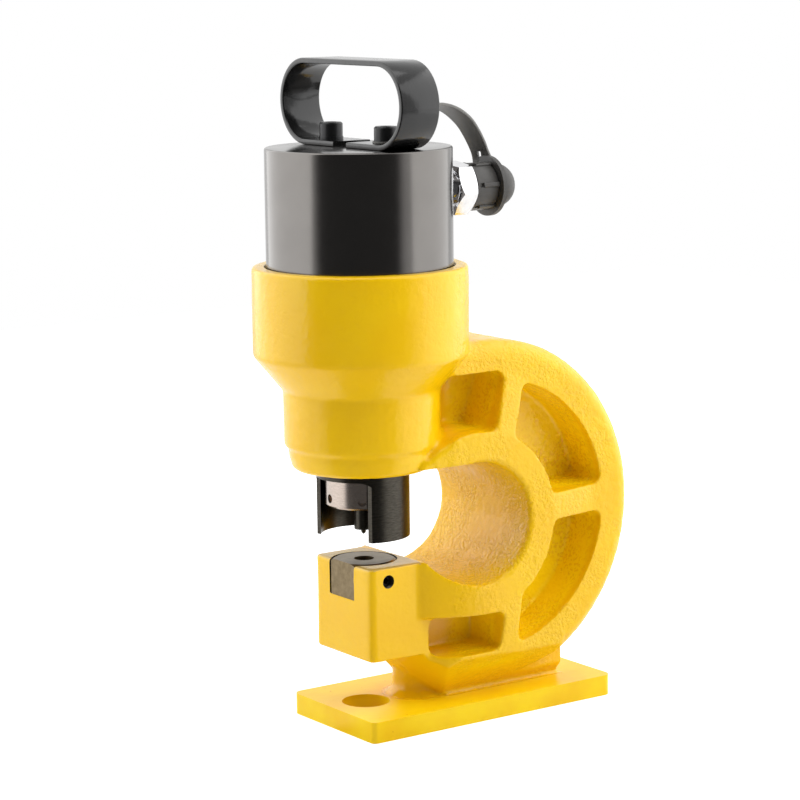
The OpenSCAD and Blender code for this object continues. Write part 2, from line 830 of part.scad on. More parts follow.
module spring_washer() {
    color("#2a2a2c") translate([0, screw_pitch / 2, tab_top]) difference() {
        cylinder(h = washer_t, r = head_r_bolt + 0.3, $fn = 72);
        translate([0, 0, -over]) cylinder(h = washer_t + 2 * over, r = shank_r + loose_gap, $fn = 48);
        rotate(140) translate([0, -0.6, -over]) cube([2 * head_r_bolt, 1.2, washer_t + 2 * over]);
    }
}

// Coupler, along +X from the cylinder's wall

module along_x(x) {
    translate([x, 0, port_z]) rotate([0, 90, 0]) children();
}

module port_washer() {
    color("silver") along_x(spot_x) difference() {
        cylinder(h = washer_l, r = 11.2, $fn = 72);
        translate([0, 0, -over]) cylinder(h = washer_l + 2 * over, r = shank_port_r + thread_gap, $fn = 48);
    }
}

module coupler_body() {
    back = spot_x - port_depth + 0.5;
    color("gainsboro") difference() {
        union() {
            along_x(back) cylinder(h = hex_x - back, r = shank_port_r, $fn = 48);
            along_x(spot_x + washer_l) cylinder(h = flange_l + over, r = 11.5, $fn = 72);
            intersection() {
                along_x(hex_x) rotate(39) cylinder(h = hex_l, r = hex_r, $fn = 6);
                along_x(hex_x) cylinder(h = hex_l, r1 = hex_af / 2, r2 = hex_af / 2 + 1.7 * hex_l, $fn = 72);
            }
            along_x(nose_x - over) cylinder(h = nose_l + over, d = nose_d, $fn = 72);
        }
        along_x(back - over) cylinder(h = nose_end - back, r = valve_bore, $fn = 48);
        along_x(chamber_x) cylinder(h = chamber_end - chamber_x, r = valve_chamber, $fn = 48);
        along_x(chamber_end - over) cylinder(h = 6 + 2 * over, r = mouth_r, $fn = 48);
        along_x(chamber_end + 2) cylinder(h = 2, r = mouth_r + 1.2, $fn = 48);
    }
}

module coupler_valve() {
    tail = chamber_x - 1 - valve_travel / 8;
    color("silver") {
        along_x(tail) cylinder(h = valve_head_x - tail, r = valve_stem, $fn = 48);
        along_x(valve_head_x) cylinder(h = 3, r = valve_head, $fn = 48);
        along_x(valve_head_x + 3)
            cylinder(h = 3 - loose_gap, r1 = valve_head, r2 = mouth_r - 0.4, $fn = 48);
        along_x(valve_head_x + 6 - loose_gap) cylinder(h = 4.8, r = mouth_r - 0.6, $fn = 48);
    }
}

module valve_guide() {
    color("silver") difference() {
        along_x(chamber_x) cylinder(h = guide_t, r = valve_chamber - press_gap, $fn = 48);
        along_x(chamber_x - over) cylinder(h = guide_t + 2 * over, r = valve_stem + running_gap, $fn = 48);
        for (a = [0:120:240]) along_x(chamber_x - over) rotate(a) translate([4.9, 0, 0])
            cylinder(h = guide_t + 2 * over, r = 1.2, $fn = 24);
    }
}

module valve_spring() {
    start = chamber_x + guide_t + loose_gap;
    color("slategray") along_x(start)
        coil(valve_spring_r, valve_wire, valve_head_x - loose_gap - start, valve_spring_curls, 12);
}

module valve_seal() {
    color("black") along_x(chamber_end + 2 + press_gap) difference() {
        cylinder(h = 2 - 2 * press_gap, r = mouth_r + 1.2 - press_gap, $fn = 48);
        translate([0, 0, -over]) cylinder(h = 2 + 2 * over, r = mouth_r - 0.2, $fn = 48);
    }
}

module dust_cap() {
    rib_h = 0.9;
    rib_w = 2.8;
    rib_turn = 22.3;
    skirt = cap_neck_x - cap_x;
    round_r = 11;
    color("#141414") difference() {
        union() {
            along_x(cap_x) cylinder(h = skirt, r = cap_r - rib_h, $fn = 96);
            for (k = [0:cap_ribs - 1]) along_x(cap_x + 2) rotate(rib_turn + k * 360 / cap_ribs)
                translate([cap_r - 2 * rib_h, -rib_w / 2, 0]) cube([2 * rib_h, rib_w, skirt - 2]);
            along_x(cap_neck_x - over) cylinder(h = ring_t + 2 * over, r = cap_neck_r, $fn = 72);
            along_x(cap_neck_x + ring_t) rotate_extrude($fn = 72) {
                square([cap_neck_r + 0.2, dome_l - round_r]);
                square([cap_neck_r + 0.2 - round_r, dome_l]);
                translate([cap_neck_r + 0.2 - round_r, dome_l - round_r]) intersection() {
                    circle(round_r, $fn = 48);
                    square(round_r);
                }
            }
        }
        along_x(cap_x - over) cylinder(h = nose_end + loose_gap - cap_x + over, r = cap_cavity_r, $fn = 72);
    }
}

module tether_ring() {
    color("#141414") difference() {
        along_x(cap_neck_x + press_gap)
            cylinder(h = ring_t - 2 * press_gap, r = tether_ring_r, $fn = 96);
        along_x(cap_neck_x - over) cylinder(h = ring_t + 2 * over, r = cap_neck_r + press_gap, $fn = 72);
    }
}

// Point on the tether's route at t from 0 to 1, smooth through the chosen points
function spline(p, i, u) = let (
        n = len(p) - 1, a = p[max(i - 1, 0)], b = p[i], c = p[i + 1], d = p[min(i + 2, n)])
    0.5 * (2 * b + (c - a) * u + (2 * a - 5 * b + 4 * c - d) * u * u
        + (3 * b - a - 3 * c + d) * u * u * u);
function unit(v) = v / norm(v);

module tether_strap() {
    per_span = 3;
    spans = len(tether_route) - 1;
    mid = [for (i = [0:spans - 1], k = [0:per_span - 1]) spline(tether_route, i, k / per_span),
        tether_route[spans]];
    n = len(mid) - 1;
    side = [for (i = [0:n]) let (d = unit(mid[min(i + 1, n)] - mid[max(i - 1, 0)])) [-d[1], d[0]]];
    turn = atan2(screw_pitch / 2 + tether_side, cap_neck_x + ring_t / 2);
    color("#141414") difference() {
        translate([0, -screw_pitch / 2, tab_top]) union() {
            cylinder(h = washer_t, r = eyelet_r, $fn = 72);
            rotate([90, 0, turn]) linear_extrude(tether_w, center = true) polygon(concat(
                [for (i = [0:n]) mid[i] + side[i] * tether_t / 2],
                [for (i = [n:-1:0]) mid[i] - side[i] * tether_t / 2]
            ));
        }
        translate([0, -screw_pitch / 2, tab_top]) {
            translate([0, 0, -over])
                cylinder(h = washer_t + 2 * over, r = shank_r + loose_gap, $fn = 48);
            translate([0, 0, washer_t]) cylinder(h = 5, r = head_r_bolt + loose_gap, $fn = 48);
        }
        along_x(cap_neck_x - 2) cylinder(h = ring_t + 4, r = tether_ring_r + loose_gap, $fn = 96);
    }
}

base_plate();
c_frame();
guide_bush();
rod_wiper();
stripper_sleeve();
die();
die_set_screw();
cylinder_body();  // cylinder
ram();
piston_seal();
piston_wear_ring();
return_spring();
punch_nut();
punch();
handle_strap();
handle_screws();
spring_washer();
port_washer();
coupler_body();
coupler_valve();
valve_guide();
valve_spring();
valve_seal();
dust_cap();
tether_ring();
tether_strap();
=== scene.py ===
"""Looks of a portable hydraulic hole punch: cast and painted C-frame, black steel cylinder,
strap handle, chrome coupler with its ribbed cap, ring nut, sleeve, punch and die."""

import math

import bmesh
import bpy
import numpy as np
from mathutils import Matrix, Vector, noise

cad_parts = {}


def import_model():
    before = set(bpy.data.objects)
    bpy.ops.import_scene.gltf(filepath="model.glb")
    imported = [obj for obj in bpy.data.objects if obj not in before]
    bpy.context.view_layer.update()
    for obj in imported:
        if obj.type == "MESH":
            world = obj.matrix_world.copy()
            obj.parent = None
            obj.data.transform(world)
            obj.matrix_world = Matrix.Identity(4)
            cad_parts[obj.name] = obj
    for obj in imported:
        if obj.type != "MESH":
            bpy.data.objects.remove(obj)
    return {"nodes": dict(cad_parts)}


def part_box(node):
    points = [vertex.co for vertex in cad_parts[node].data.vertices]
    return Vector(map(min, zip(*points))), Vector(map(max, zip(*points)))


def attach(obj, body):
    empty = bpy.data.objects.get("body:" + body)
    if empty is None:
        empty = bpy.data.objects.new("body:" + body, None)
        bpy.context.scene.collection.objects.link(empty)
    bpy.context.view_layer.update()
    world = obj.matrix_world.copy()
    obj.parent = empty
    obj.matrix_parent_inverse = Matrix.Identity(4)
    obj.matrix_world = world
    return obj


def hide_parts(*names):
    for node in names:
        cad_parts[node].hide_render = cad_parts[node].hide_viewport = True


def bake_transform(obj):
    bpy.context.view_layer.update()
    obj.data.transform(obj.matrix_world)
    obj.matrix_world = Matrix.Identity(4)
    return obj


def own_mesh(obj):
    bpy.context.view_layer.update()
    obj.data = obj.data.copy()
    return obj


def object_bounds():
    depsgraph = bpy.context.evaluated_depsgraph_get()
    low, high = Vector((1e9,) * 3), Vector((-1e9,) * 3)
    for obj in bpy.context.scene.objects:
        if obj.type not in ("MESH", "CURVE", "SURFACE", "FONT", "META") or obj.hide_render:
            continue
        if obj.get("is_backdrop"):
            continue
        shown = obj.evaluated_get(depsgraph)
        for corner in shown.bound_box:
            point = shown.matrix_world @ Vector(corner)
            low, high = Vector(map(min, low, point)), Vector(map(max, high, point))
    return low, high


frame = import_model()
CAD_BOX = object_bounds()
MM = 0.001

# Camera, fitted to the photograph's edges and circles
AZIMUTH = math.radians(35.196)
PITCH = math.radians(9.422)
ROLL = math.radians(-0.659)
DISTANCE = 1.50489
TARGET_RIGHT = 0.02133
TARGET_Z = 0.18518
LENS = 121.24
SENSOR = 36

# Casting
VOXEL = 1.0 * MM
CAST_SMOOTHING = 4
JOINT_SMOOTHING = 30
BLOCK_SMOOTHING = 9
SAME_POINT = 0.001 * MM
ROUGH_DEPTH = 0.2 * MM
FINE_DEPTH = 0.05 * MM

# Light
MIRROR_EDGES = (0.52, 0.66)
SEEN_BEHIND = 1.0
SEEN_IN_FRONT = 0.09
LIT_BEHIND = 0.95
LIT_IN_FRONT = 0.06
LEFT_POWER = 21.5
RIGHT_POWER = 11.0
FRONT_POWER = 7.5
TOP_POWER = 6.5
FLOOR_COLOUR = 0.8
FLOOR_GLOW = 0.56
FLOOR_IN_MIRRORS = 0.15
FLOOR_HALF = 1.6
LIT_EDGES = (-0.2, 0.3)
LIGHTS_AIM = (0.03, 0, 0.2)
LIGHT_DISTANCE = 0.95


def node_centre(name):
    lo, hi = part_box(name)
    return (lo + hi) / 2


def half_size(name):
    lo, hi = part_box(name)
    return (hi - lo) / 2


# Materials


# Colour sockets of the mix node, by number, because its other data types use the same names
MIX_FIRST = 6
MIX_SECOND = 7
MIX_RESULT = 2


class Nodes:
    """A material's node tree, built by short calls."""

    def __init__(self, name):
        self.material = bpy.data.materials.new(name)
        self.material.use_nodes = True
        self.tree = self.material.node_tree
        self.shader = self.tree.nodes["Principled BSDF"]
        self.place = self.add("ShaderNodeTexCoord").outputs["Object"]

    def add(self, kind, **settings):
        made = self.tree.nodes.new(kind)
        for key, value in settings.items():
            setattr(made, key, value)
        return made

    def link(self, source, target):
        self.tree.links.new(source, target)

    def set(self, **values):
        for key, value in values.items():
            self.shader.inputs[key.replace("_", " ")].default_value = value

    def stretched(self, scale):
        mapping = self.add("ShaderNodeMapping")
        mapping.inputs["Scale"].default_value = scale
        self.link(self.place, mapping.inputs["Vector"])
        return mapping.outputs["Vector"]

    def noise(self, scale, detail=3.0, roughness=0.5, place=None):
        made = self.add("ShaderNodeTexNoise")
        made.inputs["Scale"].default_value = scale
        made.inputs["Detail"].default_value = detail
        made.inputs["Roughness"].default_value = roughness
        self.link(place or self.place, made.inputs["Vector"])
        return made.outputs["Fac"]

    def mapped(self, source, low, high, start=0.0, end=1.0):
        made = self.add("ShaderNodeMapRange")
        made.inputs["From Min"].default_value = start
        made.inputs["From Max"].default_value = end
        made.inputs["To Min"].default_value = low
        made.inputs["To Max"].default_value = high
        self.link(source, made.inputs["Value"])
        return made.outputs["Result"]

    def mixed(self, share, first, second):
        made = self.add("ShaderNodeMix", data_type="RGBA")
        self.link(share, made.inputs["Factor"])
        for value, number in ((first, MIX_FIRST), (second, MIX_SECOND)):
            socket = made.inputs[number]
            if isinstance(value, tuple):
                socket.default_value = (*value, 1)
            else:
                self.link(value, socket)
        return made.outputs[MIX_RESULT]

    def times(self, first, second):
        made = self.add("ShaderNodeMath", operation="MULTIPLY")
        for value, socket in zip((first, second), made.inputs):
            if isinstance(value, float):
                socket.default_value = value
            else:
                self.link(value, socket)
        return made.outputs[0]

    def attribute(self, name):
        return self.add("ShaderNodeAttribute", attribute_name=name).outputs["Fac"]

    def bump(self, height, depth, strength=1.0, base=None):
        made = self.add("ShaderNodeBump")
        made.inputs["Distance"].default_value = depth
        made.inputs["Strength"].default_value = strength
        self.link(height, made.inputs["Height"])
        if base is not None:
            self.link(base, made.inputs["Normal"])
        return made.outputs["Normal"]

    def finish(self, colour=None, roughness=None, normal=None):
        if colour is not None:
            self.link(colour, self.shader.inputs["Base Color"])
        if roughness is not None:
            self.link(roughness, self.shader.inputs["Roughness"])
        if normal is not None:
            self.link(normal, self.shader.inputs["Normal"])
        return self.material


YELLOW = (0.88, 0.515, 0.002)
# Deep yellow: real specks on the plate, and painted shade in the pits of the casting's pebbles
YELLOW_DEEP = (0.80, 0.44, 0.002)
YELLOW_PALE = (0.91, 0.565, 0.003)
# Palest yellow: a random tone on the plate, and painted light in the casting's pockets
YELLOW_PALEST_AND_POCKET_LIGHT = (0.97, 0.69, 0.004)
MILLED_FACE = (0.62, 0.42, 0.11)


def cast_paint():
    """Thick glossy yellow over a casting: orange peel everywhere, pebbled in patches, and paler in
    the pockets as painted light.
    """
    m = Nodes("yellow_cast_paint")
    rough = m.attribute("rough_cast")
    tone = m.mixed(m.mapped(m.noise(22, 4), 0, 1, 0.35, 0.65), YELLOW, YELLOW_PALE)
    # Painted light: the paint in the pockets is paler, standing in for the light that falls into
    # them
    tone = m.mixed(m.attribute("pocket_painted_light"), tone, YELLOW_PALEST_AND_POCKET_LIGHT)
    patches = m.times(rough, m.mapped(m.noise(42, 3), 0.25, 1, 0.42, 0.55))
    pebbles = m.mapped(m.noise(560, 2, 0.5), 0, 1, 0.40, 0.58)
    # Painted shade: the pits of the pebbles are painted a deeper yellow
    share = m.times(m.mapped(pebbles, 0.6, 0, 0, 0.35), patches)
    colour = m.mixed(share, tone, YELLOW_DEEP)
    peel = m.bump(m.noise(330, 2, 0.4), 0.12 * MM, 0.5)
    grain = m.bump(m.times(pebbles, patches), 0.27 * MM, 1.0, peel)
    shine = m.mapped(m.noise(60, 3), 0.12, 0.22)
    bare = m.attribute("bare_metal")
    colour = m.mixed(bare, colour, MILLED_FACE)
    m.link(m.times(bare, 0.15), m.shader.inputs["Metallic"])
    m.set(Specular_IOR_Level=0.38)
    return m.finish(colour, shine, grain)


def plate_paint():
    """Thinner yellow over flat plate, with fewer and finer marks."""
    m = Nodes("yellow_plate_paint")
    tone = m.mixed(m.mapped(m.noise(30, 4), 0, 1, 0.35, 0.65), YELLOW_PALE, YELLOW_PALEST_AND_POCKET_LIGHT)
    spots = m.mapped(m.noise(260, 2, 0.5), 0, 1, 0.72, 0.76)
    colour = m.mixed(spots, tone, YELLOW_DEEP)
    peel = m.bump(m.noise(260, 2, 0.4), 0.15 * MM, 0.55)
    shine = m.mapped(m.noise(50, 3), 0.24, 0.36)
    m.set(Specular_IOR_Level=0.3)
    return m.finish(colour, shine, peel)


def black_finish(name, dark, pale, shine, peel_scale, peel_depth, metal, coat):
    """Black paint or oxide, from dark to pale in patches, over a faintly wavy face."""
    m = Nodes(name)
    colour = m.mixed(m.noise(45, 4), dark, pale)
    peel = m.bump(m.noise(peel_scale, 3, 0.5), peel_depth, 0.5)
    roughness = m.mapped(m.noise(120, 4), shine[0], shine[1])
    m.set(Metallic=metal, Coat_Weight=coat, Coat_Roughness=0.12)
    return m.finish(colour, roughness, peel)


def steel(name, dark, pale, shine, stretch=(1, 1, 1), depth=0.02 * MM):
    """Bare steel, with tool marks drawn out along the directions that stretch gives."""
    m = Nodes(name)
    place = m.stretched(stretch)
    marks = m.noise(300, 5, 0.6, place)
    colour = m.mixed(m.mapped(marks, 0, 1, 0.3, 0.7), dark, pale)
    normal = m.bump(marks, depth, 0.6)
    roughness = m.mapped(m.noise(90, 4), shine[0], shine[1])
    m.set(Metallic=1.0)
    return m.finish(colour, roughness, normal)


def soft_plastic(name, dark, pale, shine):
    m = Nodes(name)
    colour = m.mixed(m.noise(70, 4), dark, pale)
    normal = m.bump(m.noise(900, 3, 0.6), 0.04 * MM, 0.5)
    roughness = m.mapped(m.noise(150, 4), shine[0], shine[1])
    m.set(Specular_IOR_Level=0.45)
    return m.finish(colour, roughness, normal)


MATERIALS = {
    "cast": cast_paint(),
    "plate": plate_paint(),
    "cylinder": black_finish(
        "black_cylinder", (0.125, 0.118, 0.112), (0.155, 0.147, 0.139), (0.15, 0.21),
        peel_scale=900, peel_depth=0.008 * MM, metal=1.0, coat=0.0
    ),
    "strap": black_finish(
        "black_strap_paint", (0.005, 0.005, 0.005), (0.010, 0.010, 0.010), (0.10, 0.20),
        peel_scale=110, peel_depth=0.35 * MM, metal=0.0, coat=0.0
    ),
    "screw": black_finish(
        "black_oxide", (0.014, 0.014, 0.015), (0.03, 0.03, 0.031), (0.34, 0.46),
        peel_scale=900, peel_depth=0.02 * MM, metal=0.6, coat=0.1
    ),
    "dark_steel": steel(
        "blued_tool_steel", (0.04, 0.036, 0.03), (0.078, 0.071, 0.058), (0.24, 0.36),
        stretch=(1, 1, 6), depth=0.012 * MM
    ),
    "die_steel": steel(
        "ground_die_steel", (0.15, 0.112, 0.058), (0.235, 0.178, 0.1), (0.28, 0.4)
    ),
    "nut_steel": steel(
        "turned_nut_steel", (0.42, 0.355, 0.31), (0.58, 0.49, 0.43), (0.16, 0.26),
        stretch=(1, 1, 9), depth=0.015 * MM
    ),
    "rod_steel": steel(
        "ground_rod_chrome", (0.6, 0.6, 0.61), (0.7, 0.7, 0.71), (0.08, 0.14)
    ),
    "chrome": steel(
        "coupler_chrome", (0.66, 0.66, 0.67), (0.78, 0.78, 0.79), (0.07, 0.14), depth=0.01 * MM
    ),
    "spring": steel(
        "spring_wire", (0.16, 0.16, 0.165), (0.26, 0.26, 0.27), (0.3, 0.45)
    ),
    "bronze": steel(
        "bronze_bush_metal", (0.45, 0.26, 0.10), (0.60, 0.36, 0.15), (0.28, 0.4)
    ),
    "rubber": soft_plastic(
        "seal_rubber_black", (0.012, 0.012, 0.012), (0.022, 0.022, 0.022), (0.55, 0.7)
    ),
    "wear": soft_plastic(
        "wear_ring_brown", (0.13, 0.06, 0.025), (0.19, 0.09, 0.04), (0.45, 0.6)
    ),
    "cap": soft_plastic(
        "cap_plastic_black", (0.04, 0.038, 0.036), (0.062, 0.059, 0.054), (0.4, 0.52)
    ),
    "tether": soft_plastic(
        "tether_plastic", (0.085, 0.082, 0.076), (0.125, 0.12, 0.11), (0.38, 0.5)
    ),
}


def dress(obj, *names):
    obj.data.materials.clear()
    for name in names:
        obj.data.materials.append(MATERIALS[name])


# Mesh helpers


def new_object(name, mesh):
    obj = bpy.data.objects.new(name, mesh)
    bpy.context.scene.collection.objects.link(obj)
    return obj


def applied(obj):
    """The object's mesh with its modifiers applied, in place."""
    graph = bpy.context.evaluated_depsgraph_get()
    graph.update()
    mesh = bpy.data.meshes.new_from_object(obj.evaluated_get(graph))
    old = obj.data
    obj.modifiers.clear()
    obj.data = mesh
    bpy.data.meshes.remove(old)
    return obj


def smooth(obj, angle=35):
    obj.data.polygons.foreach_set("use_smooth", [True] * len(obj.data.polygons))
    obj.data.set_sharp_from_angle(angle=math.radians(angle))


def outline_prism(points, low, high):
    """Closed mesh of a plan outline between two heights."""
    made = bmesh.new()
    rings = [[made.verts.new((x, y, z)) for x, y in points] for z in (low, high)]
    n = len(points)
    for i in range(n):
        j = (i + 1) % n
        made.faces.new((rings[0][i], rings[0][j], rings[1][j], rings[1][i]))
    made.faces.new(list(reversed(rings[0])))
    made.faces.new(rings[1])
    bmesh.ops.recalc_face_normals(made, faces=made.faces)
    return made


def circle_points(radius, count=128):
    return [
        (radius * math.cos(2 * math.pi * k / count), radius * math.sin(2 * math.pi * k / count))
        for k in range(count)
    ]


def turned(profile, count=128):
    """Closed mesh of revolution about Z. The profile runs upwards from the axis back to it."""
    made = bmesh.new()
    rings = []
    for r, z in profile:
        if r == 0:
            rings.append([made.verts.new((0, 0, z))] * count)
        else:
            rings.append([made.verts.new((x, y, z)) for x, y in circle_points(r, count)])
    for low, high in zip(rings, rings[1:]):
        for i in range(count):
            j = (i + 1) % count
            corners = [low[i], low[j], high[j], high[i]]
            corners = [v for k, v in enumerate(corners) if v not in corners[:k]]
            if len(corners) > 2:
                made.faces.new(corners)
    bmesh.ops.recalc_face_normals(made, faces=made.faces)
    return made


def as_object(name, made, *material):
    mesh = bpy.data.meshes.new(name)
    made.to_mesh(mesh)
    made.free()
    obj = new_object(name, mesh)
    dress(obj, *material)
    return obj


def cut(obj, tools):
    """Takes the tools away from the object, with the tools' material on the cut faces."""
    for tool in tools:
        made = obj.modifiers.new("cut", "BOOLEAN")
        made.operation = "DIFFERENCE"
        made.solver = "MANIFOLD"
        made.object = tool
        made.material_mode = "TRANSFER"
    applied(obj)
    for tool in tools:
        bpy.data.objects.remove(tool)


def placed(made, place, turn=0.0, axis="X"):
    """Turns a mesh about an axis and then moves it."""
    matrix = Matrix.Translation(place) @ Matrix.Rotation(turn, 4, axis)
    bmesh.ops.transform(made, matrix=matrix, verts=made.verts)
    return made


def bridge(made, rings):
    """Closed skin over a row of rings, with flat ends."""
    n = len(rings[0])
    for low, high in zip(rings, rings[1:]):
        for i in range(n):
            j = (i + 1) % n
            made.faces.new((low[i], low[j], high[j], high[i]))
    made.faces.new(list(reversed(rings[0])))
    made.faces.new(rings[-1])
    bmesh.ops.recalc_face_normals(made, faces=made.faces)


def rounded_rectangle(x0, x1, y0, y1, radius, steps=4):
    """Outline of a rectangle, with one corner radius or four, from (x1, y1) on."""
    radii = radius if isinstance(radius, tuple) else (radius,) * 4
    corners = ((x1, y1, -1, -1), (x0, y1, 1, -1), (x0, y0, 1, 1), (x1, y0, -1, 1))
    points = []
    for quarter, ((x, y, in_x, in_y), r) in enumerate(zip(corners, radii)):
        for k in range(steps + 1):
            a = math.pi / 2 * (quarter + k / steps)
            points.append((x + r * (in_x + math.cos(a)), y + r * (in_y + math.sin(a))))
    return points


def joined(parts):
    """One mesh from several closed ones."""
    whole = bmesh.new()
    for part in parts:
        mesh = bpy.data.meshes.new("part")
        part.to_mesh(mesh)
        part.free()
        whole.from_mesh(mesh)
        bpy.data.meshes.remove(mesh)
    return whole


# Frame casting

FRAME_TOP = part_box("c_frame")[1].z
SEAT_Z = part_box("cylinder")[0].z
SLEEVE_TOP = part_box("stripper_sleeve")[1].z
BUSH_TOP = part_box("guide_bush")[1].z
DIE_LO, DIE_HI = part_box("die")
RING_LO, RING_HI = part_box("tether_ring")
PORT_Z = node_centre("port_washer").z
SPOT_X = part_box("port_washer")[0].x
SCREW_Y = node_centre("spring_washer").y

BOSS_BOTTOM = 147.5 * MM
BLOCK_TOP = DIE_HI.z - 0.3 * MM
BLOCK_FRONT = -14.9 * MM
BLOCK_BOTTOM = 41.5 * MM
DIE_POCKET_R = half_size("die").y + 0.1 * MM
SLEEVE_BORE_R = half_size("stripper_sleeve").y + 0.05 * MM
COLLAR_BORE_R = half_size("cylinder").y + 0.4 * MM
CHAMBER_R = 37.5 * MM
SLUG_R = 9 * MM

# Hole of the set screw, from the side of the block in to the die
SET_SCREW = node_centre("die_set_screw")
SET_SCREW_R = 4.1 * MM
SET_SCREW_PLUG_R = 5 * MM
SET_SCREW_MOUTH_Y = -28 * MM
SET_SCREW_END = 12 * MM
THREAD_PITCH = 1.25 * MM
THREAD_DEPTH = 0.65 * MM

# Where the casting's regions begin and end
THROAT = Vector((50 * MM, 0, 115 * MM))
THROAT_R = 35 * MM
RIM_X = 65.4 * MM
RIM_Z = 116.6 * MM
RIM_INSIDE = (84 * MM, 92 * MM)
BODY_FRONT = (22 * MM, 32 * MM)
BODY_OFF_BOSS = (46 * MM, 56 * MM)
POCKET_WALL = (30 * MM, 36 * MM)
POCKETS_TOP = 206 * MM
THROAT_FRONT = 30 * MM
FLARE_TOP = 40 * MM
BOSS_JOINT_R = 44 * MM

# Noise on the casting, in waves per metre
LUMPS_SCALE = 260
PEBBLES_SCALE = 560
SWELL_SCALE = 45
SWELL_DEPTH = 0.15 * MM


def bore_plugs():
    """Fills the bores, so that the casting is smoothed whole and the bores are then cut crisp."""
    clipped = [(max(x, BLOCK_FRONT), y) for x, y in circle_points(DIE_POCKET_R + MM)]
    yield outline_prism(clipped, BLOCK_BOTTOM, BLOCK_TOP)
    yield outline_prism(circle_points(COLLAR_BORE_R + 2 * MM), SEAT_Z - MM, FRAME_TOP)
    yield outline_prism(circle_points(CHAMBER_R + MM), SLEEVE_TOP, SEAT_Z)
    yield outline_prism(circle_points(SLEEVE_BORE_R + MM), BOSS_BOTTOM, BUSH_TOP)
    hole = outline_prism(circle_points(SET_SCREW_PLUG_R, 32), 0, 20 * MM)
    yield placed(hole, (SET_SCREW.x, SET_SCREW_MOUTH_Y, SET_SCREW.z), -math.pi / 2, "X")


def bore_cuts():
    """The bores again: collar, sleeve and chamber, die pocket with its gap, and set screw."""
    lip = 2 * MM
    lip_r = COLLAR_BORE_R + 1.2 * MM
    over = 3 * MM
    collar = turned([
        (0, SEAT_Z), (COLLAR_BORE_R, SEAT_Z), (COLLAR_BORE_R, FRAME_TOP - lip),
        (lip_r, FRAME_TOP + 0.5 * MM), (lip_r, FRAME_TOP + over), (0, FRAME_TOP + over)], 192)
    yield as_object("cut_collar", collar, "cast")
    guide = turned([
        (0, BOSS_BOTTOM - over), (SLEEVE_BORE_R, BOSS_BOTTOM - over), (SLEEVE_BORE_R, BUSH_TOP),
        (CHAMBER_R, BUSH_TOP), (CHAMBER_R, SEAT_Z + MM), (0, SEAT_Z + MM)])
    yield as_object("cut_guide", guide, "dark_steel")
    die = turned([
        (0, BLOCK_BOTTOM - over), (SLUG_R, BLOCK_BOTTOM - over), (SLUG_R, DIE_LO.z),
        (DIE_POCKET_R, DIE_LO.z), (DIE_POCKET_R, BLOCK_TOP + 5 * MM), (0, BLOCK_TOP + 5 * MM)])
    yield as_object("cut_die", die, "dark_steel")
    chord = math.sqrt(DIE_POCKET_R ** 2 - BLOCK_FRONT ** 2)
    gap_outline = rounded_rectangle(
        chord - MM, chord + 1.5 * MM, DIE_LO.z, BLOCK_TOP + 6 * MM, 1.2 * MM)
    gap = outline_prism(gap_outline, BLOCK_FRONT - 4 * MM, BLOCK_FRONT + 3 * MM)
    placed(gap, (0, 0, 0), math.pi / 2, "X")
    yield as_object("cut_gap", placed(gap, (0, 0, 0), math.pi / 2, "Z"), "dark_steel")
    crests = [
        (SET_SCREW_R - THREAD_DEPTH * (k % 2), SET_SCREW_END + k * THREAD_PITCH / 2)
        for k in range(32)
    ]
    hole = turned([(0, SET_SCREW_END), *crests[1:], (0, crests[-1][1])], 48)
    placed(hole, (SET_SCREW.x, 0, SET_SCREW.z), math.pi / 2, "X")
    yield as_object("cut_set_screw", hole, "dark_steel")


def smoothstep(x, low, high):
    t = np.clip((x - low) / (high - low), 0, 1)
    return t * t * (3 - 2 * t)


def body_share(points):
    """One over the C, and none over the boss, the collar and the die block."""
    x, y = points[:, 0], points[:, 1]
    return smoothstep(x, *BODY_FRONT) * smoothstep(np.hypot(x, y), *BODY_OFF_BOSS)


def wall_share(points):
    """One on the wall of the throat."""
    x, z = points[:, 0], points[:, 2]
    throat = np.hypot(x - THROAT.x, z - THROAT.z)
    near = 1 - smoothstep(throat, THROAT_R + 1 * MM, THROAT_R + 5 * MM)
    return near * (x > THROAT_FRONT)


def pocket_share(points):
    """One in the pockets between the ribs."""
    x, y, z = points.T
    sunk = 1 - smoothstep(np.abs(y), *POCKET_WALL)
    inside = 1 - smoothstep(np.hypot(x - RIM_X, z - RIM_Z), *RIM_INSIDE)
    return body_share(points) * sunk * inside * (z < POCKETS_TOP) * (1 - wall_share(points))


def rough_share(points):
    """How rough the casting is at each point: the throat, the pockets and the hollow flare."""
    body = body_share(points)
    flare = 0.6 * body * (points[:, 2] < FLARE_TOP)
    face = 0.5 * body + 0.15
    shares = [wall_share(points), pocket_share(points), flare, face]
    return np.clip(np.maximum.reduce(shares), 0, 1)


def bare_share(points):
    """Where the top of the block is milled to bare metal round the die, behind a bowed edge."""
    x, y, z = points.T
    off = y + 6 * MM
    bow = 2 * off ** 2 + 3.5 * off ** 2 * (off > 0)
    edge = 19.5 * MM - bow
    on_top = (z > BLOCK_TOP - 0.6 * MM) * (z < BLOCK_TOP + MM)
    return on_top * (1 - smoothstep(x, edge, edge + MM))


def at_joint(x, y, z):
    """Where the C runs into the boss and the collar."""
    near_boss = abs(math.hypot(x, y) - BOSS_JOINT_R) < 9 * MM
    return near_boss and x > 12 * MM and BOSS_BOTTOM + 3 * MM < z < FRAME_TOP - 56 * MM


def at_block_edge(x, y, z):
    """The upright edges of the die block."""
    return x < 8 * MM and 24 * MM < z < BLOCK_TOP - 3 * MM


